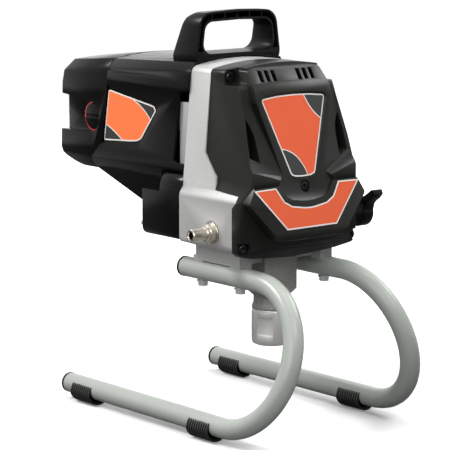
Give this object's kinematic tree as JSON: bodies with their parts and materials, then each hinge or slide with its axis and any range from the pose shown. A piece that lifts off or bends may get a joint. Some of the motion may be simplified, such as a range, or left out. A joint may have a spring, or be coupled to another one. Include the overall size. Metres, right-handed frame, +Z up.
{
  "type": "airless paint sprayer",
  "caption": "Stand-mounted electric airless paint sprayer: ribbed motor housing, geared crank, piston pump, carry handle and bent-tube stand.",
  "frame": {"origin": "on the floor, under the centre of the bounding box", "axes": "-Y towards the front cover, +X to the right of a viewer who looks at the front cover, +Z up; millimetre model stored in metres"},
  "size_m": [0.2506, 0.424, 0.4465],
  "materials": {
    "stand_paint": "satin powder coat",
    "cast_metal": "cast, tumbled",
    "pump_steel": "turned",
    "hard_steel": "ground and hardened",
    "gear_steel": "hobbed, oiled",
    "bearing_steel": "ground",
    "bronze": "sintered",
    "core_iron": "laminated",
    "zinc_screw": "zinc plated",
    "black_screw": "blackened",
    "plated_fitting": "nickel plated",
    "dark_plastic": "moulded, fine texture",
    "gloss_black": "moulded, glossy",
    "badge_orange": "printed label",
    "cap_red": "moulded",
    "seal_white": "PTFE",
    "carbon": "pressed carbon",
    "board_green": "circuit board",
    "black_rubber": "ribbed"
  },
  "bodies": {
    "machine": {"left_leg": "stand_paint", "right_leg": "stand_paint", "tube_end_caps": "dark_plastic", "rubber_feet": "black_rubber", "leg_bolts": "zinc_screw", "frame_casting": "cast_metal", "fluid_housing": "cast_metal", "suction_fitting": "pump_steel", "inlet_seat": "hard_steel", "inlet_cage": "pump_steel", "cylinder_sleeve": "hard_steel", "upper_packing": "seal_white", "packing_nut": "pump_steel", "crank_bearings": "bearing_steel", "gear_plate": "cast_metal", "gear_plate_screws": "black_screw", "intermediate_bushes": "bronze", "motor_bearings": "bearing_steel", "stator": "core_iron", "stator_screws": "zinc_screw", "motor_bracket": "cast_metal", "carbon_brushes": "carbon", "brush_holders": "bronze", "brush_caps": "gloss_black", "brush_cap_rings": "cap_red", "motor_cover": "gloss_black", "rear_cap": "gloss_black", "cover_screws_rear": "black_screw", "control_box": "dark_plastic", "control_board": "board_green", "toggle_switch": "zinc_screw", "pressure_control": "bronze", "cord_gland": "dark_plastic", "carry_handle": "dark_plastic", "handle_screws": "zinc_screw", "front_cover": "dark_plastic", "front_cover_screws": "black_screw", "front_badge": "badge_orange", "lower_badge": "badge_orange", "side_badge": "badge_orange", "outlet_fitting": "plated_fitting", "prime_valve": "plated_fitting", "return_spigot": "plated_fitting"},
    "armature_shaft": {"armature": "core_iron", "motor_pinion": "gear_steel", "cooling_fan": "dark_plastic"},
    "intermediate_shaft": {"intermediate_gear": "gear_steel"},
    "crank_shaft": {"crank_gear": "gear_steel"},
    "piston_assembly": {"yoke": "gear_steel", "piston_rod": "hard_steel", "piston_seal": "seal_white"},
    "outlet_ball": {"piston_ball": "hard_steel"},
    "suction_ball": {"inlet_ball": "hard_steel"},
    "switch_bat": {"switch_lever": "plated_fitting"},
    "pressure_dial": {"pressure_knob": "dark_plastic"},
    "prime_knob": {"prime_lever": "dark_plastic"}
  },
  "joints": [
    {"name": "armature_spin", "type": "hinge", "parent": "machine", "child": "armature_shaft", "pos_m": [0, 0.08, 0.3185], "axis": [0, 1, 0], "continuous": true},
    {"name": "intermediate_spin", "type": "hinge", "parent": "machine", "child": "intermediate_shaft", "pos_m": [0.03367, -0.04, 0.30576], "axis": [0, 1, 0], "continuous": true},
    {"name": "crank_spin", "type": "hinge", "parent": "machine", "child": "crank_shaft", "pos_m": [0, -0.05, 0.2705], "axis": [0, 1, 0], "continuous": true},
    {"name": "pump_stroke", "type": "slide", "parent": "machine", "child": "piston_assembly", "axis": [0, 0, 1], "range_m": [-0.01, 0.01]},
    {"name": "outlet_ball_lift", "type": "slide", "parent": "piston_assembly", "child": "outlet_ball", "axis": [0, 0, 1], "range_m": [0, 0.002]},
    {"name": "suction_ball_lift", "type": "slide", "parent": "machine", "child": "suction_ball", "axis": [0, 0, 1], "range_m": [0, 0.002]},
    {"name": "switch_throw", "type": "hinge", "parent": "machine", "child": "switch_bat", "pos_m": [-0.066, 0.054, 0.2115], "axis": [1, 0, 0], "range_deg": [0, 24]},
    {"name": "pressure_turn", "type": "hinge", "parent": "machine", "child": "pressure_dial", "pos_m": [0.04, 0.055, 0.2115], "axis": [0, 1, 0], "range_deg": [0, 270]},
    {"name": "prime_turn", "type": "hinge", "parent": "machine", "child": "prime_knob", "pos_m": [0.11, -0.086, 0.2208], "axis": [1, 0, 0], "range_deg": [0, 90]}
  ],
  "couplings": [
    {"joint": "intermediate_spin", "follows": "armature_spin", "ratio": -0.2},
    {"joint": "crank_spin", "follows": "armature_spin", "ratio": 0.05}
  ]
}
